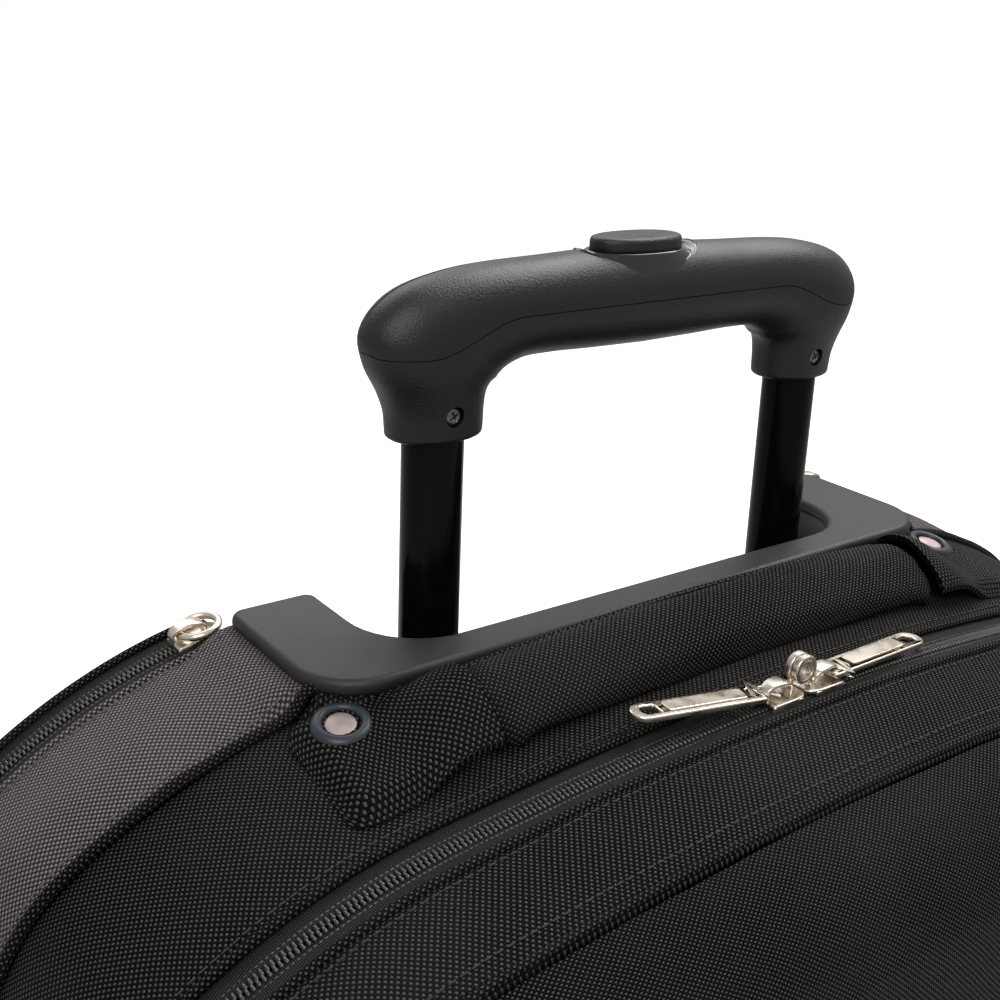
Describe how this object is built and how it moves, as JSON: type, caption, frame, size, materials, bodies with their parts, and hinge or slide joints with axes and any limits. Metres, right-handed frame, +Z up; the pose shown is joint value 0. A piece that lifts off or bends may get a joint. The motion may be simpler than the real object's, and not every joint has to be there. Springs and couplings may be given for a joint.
{
  "type": "rolling laptop case",
  "caption": "Soft-sided rolling laptop case with a telescopic trolley handle, padded carry handle, zipped front and rear compartments, moulded base and recessed wheels.",
  "frame": {"origin": "on the floor, under the middle of the case's width and depth", "axes": "+X to the right seen from the front, the front faces -Y, +Z up; the handle rises along +Z"},
  "size_m": [0.451, 0.236, 0.508],
  "materials": {
    "gusset_grey": "charcoal ballistic nylon",
    "gusset_black": "black ballistic nylon",
    "lining": "woven lining",
    "zip_tape": "ribbed black tape",
    "base_plastic": "textured moulding",
    "cap_plastic": "fine spark-grain moulding",
    "grip_plastic": "fine spark-grain moulding",
    "gloss_black": "polished",
    "tube_black": "gloss black coating",
    "steel": "zinc plated",
    "nickel": "warm satin nickel",
    "rubber": "moulded",
    "tread": "soft tread",
    "hub_plastic": "moulded",
    "ring_plastic": "blue-grey moulding",
    "rivet_metal": "brushed warm nickel",
    "board": "stiffening sheet"
  },
  "bodies": {
    "case": {"rear_gusset": "gusset_grey", "main_gusset": "gusset_black", "main_zip_case": "zip_tape", "rear_zip_case": "zip_tape", "bottom_tray": "base_plastic", "kick_plate": "base_plastic", "front_feet": "rubber", "wheel_housing_right": "base_plastic", "wheel_housing_left": "base_plastic", "axle_right": "steel", "axle_left": "steel", "top_cap": "cap_plastic", "outer_tubes": "tube_black", "tube_bushes": "base_plastic", "tube_foot": "base_plastic", "divider_board": "board", "laptop_sleeve": "lining", "handle_strap_right": "gusset_black", "handle_strap_left": "gusset_black", "rivet_rings": "ring_plastic", "rivet_caps": "rivet_metal"},
    "front_lid": {"front_gusset": "gusset_black", "main_zip_lid": "zip_tape", "front_panel": "gusset_black", "front_pocket": "gusset_black", "pocket_zip": "zip_tape", "lid_organiser": "lining"},
    "back_lid": {"back_panel": "gusset_black", "rear_zip_lid": "zip_tape"},
    "handle_mid": {"mid_tubes": "tube_black", "mid_bushes": "base_plastic", "mid_plugs": "base_plastic"},
    "handle_top": {"inner_tubes": "tube_black", "inner_plugs": "base_plastic", "grip_lower_shell": "grip_plastic", "grip_upper_shell": "grip_plastic", "grip_screws": "steel", "button_bezel": "gloss_black", "button_spring": "steel"},
    "button": {"button_cap": "grip_plastic", "push_yoke": "base_plastic"},
    "lock_right": {"lock_pin_right": "steel"},
    "lock_left": {"lock_pin_left": "steel"},
    "wheel_right": {"wheel_hub_right": "hub_plastic", "wheel_tyre_right": "tread"},
    "wheel_left": {"wheel_hub_left": "hub_plastic", "wheel_tyre_left": "tread"},
    "handle_pad": {"carry_handle": "gusset_black"},
    "zip_right": {"main_slider_right": "nickel"},
    "zip_left": {"main_slider_left": "nickel"},
    "tab_right": {"main_pull_right": "nickel"},
    "tab_left": {"main_pull_left": "nickel"},
    "side_zip_right": {"rear_slider_right": "nickel"},
    "side_zip_left": {"rear_slider_left": "nickel"},
    "ring_right": {"rear_pull_right": "nickel"},
    "ring_left": {"rear_pull_left": "nickel"},
    "pocket_runner": {"pocket_slider": "nickel"},
    "pocket_tab": {"pocket_pull": "nickel"}
  },
  "joints": [
    {"name": "front_lid_open", "type": "hinge", "parent": "case", "child": "front_lid", "pos_m": [0, -0.092, 0.047], "axis": [1, 0, 0], "range_deg": [0, 75]},
    {"name": "back_lid_open", "type": "hinge", "parent": "case", "child": "back_lid", "pos_m": [0, 0.1, 0.112], "axis": [1, 0, 0], "range_deg": [-60, 0]},
    {"name": "handle_mid_slide", "type": "slide", "parent": "case", "child": "handle_mid", "axis": [0, 0, 1], "range_m": [0, 0.26]},
    {"name": "handle_top_slide", "type": "slide", "parent": "handle_mid", "child": "handle_top", "axis": [0, 0, 1], "range_m": [-0.074, 0.188]},
    {"name": "button_press", "type": "slide", "parent": "handle_top", "child": "button", "axis": [0, 0, -1], "range_m": [0, 0.004], "stiffness_N_per_m": 400, "deforming": ["button_spring"]},
    {"name": "lock_right_slide", "type": "slide", "parent": "handle_top", "child": "lock_right", "axis": [1, 0, 0], "range_m": [0, 0.002]},
    {"name": "lock_left_slide", "type": "slide", "parent": "handle_top", "child": "lock_left", "axis": [-1, 0, 0], "range_m": [0, 0.002]},
    {"name": "wheel_right_spin", "type": "hinge", "parent": "case", "child": "wheel_right", "pos_m": [0.194, 0.082, 0.036], "axis": [1, 0, 0], "continuous": true},
    {"name": "wheel_left_spin", "type": "hinge", "parent": "case", "child": "wheel_left", "pos_m": [-0.194, 0.082, 0.036], "axis": [1, 0, 0], "continuous": true},
    {"name": "carry_handle_lift", "type": "slide", "parent": "case", "child": "handle_pad", "axis": [0, 0, 1], "range_m": [0, 0.025]},
    {"name": "main_zip_right_travel", "type": "hinge", "parent": "case", "child": "zip_right", "pos_m": [0, -0.03, -0.719], "axis": [0, 1, 0], "range_deg": [0, 5.6]},
    {"name": "main_zip_left_travel", "type": "hinge", "parent": "case", "child": "zip_left", "pos_m": [0, -0.03, -0.719], "axis": [0, 1, 0], "range_deg": [-5.6, 0]},
    {"name": "tab_right_flip", "type": "hinge", "parent": "zip_right", "child": "tab_right", "pos_m": [0.0149, -0.03, 0.3844], "axis": [0, 1, 0], "range_deg": [-100, 0]},
    {"name": "tab_left_flip", "type": "hinge", "parent": "zip_left", "child": "tab_left", "pos_m": [-0.0109, -0.03, 0.3844], "axis": [0, 1, 0], "range_deg": [0, 100]},
    {"name": "side_zip_right_travel", "type": "hinge", "parent": "case", "child": "side_zip_right", "pos_m": [0.10682, 0.09, 0.22791], "axis": [0, 1, 0], "range_deg": [0, 20]},
    {"name": "side_zip_left_travel", "type": "hinge", "parent": "case", "child": "side_zip_left", "pos_m": [-0.10682, 0.09, 0.22791], "axis": [0, 1, 0], "range_deg": [-20, 0]},
    {"name": "ring_right_flip", "type": "hinge", "parent": "side_zip_right", "child": "ring_right", "pos_m": [0.14367, 0.09, 0.38718], "axis": [0, 1, 0], "range_deg": [0, 150]},
    {"name": "ring_left_flip", "type": "hinge", "parent": "side_zip_left", "child": "ring_left", "pos_m": [-0.14367, 0.09, 0.38718], "axis": [0, 1, 0], "range_deg": [-150, 0]},
    {"name": "pocket_zip_travel", "type": "slide", "parent": "front_lid", "child": "pocket_runner", "axis": [1, 0, 0], "range_m": [-0.25, 0.03]},
    {"name": "pocket_tab_flip", "type": "hinge", "parent": "pocket_runner", "child": "pocket_tab", "pos_m": [0.1129, -0.1056, 0.273], "axis": [0, 0, 1], "range_deg": [-100, 0]}
  ],
  "couplings": [
    {"joint": "lock_right_slide", "follows": "button_press", "ratio": 0.5},
    {"joint": "lock_left_slide", "follows": "button_press", "ratio": 0.5}
  ]
}
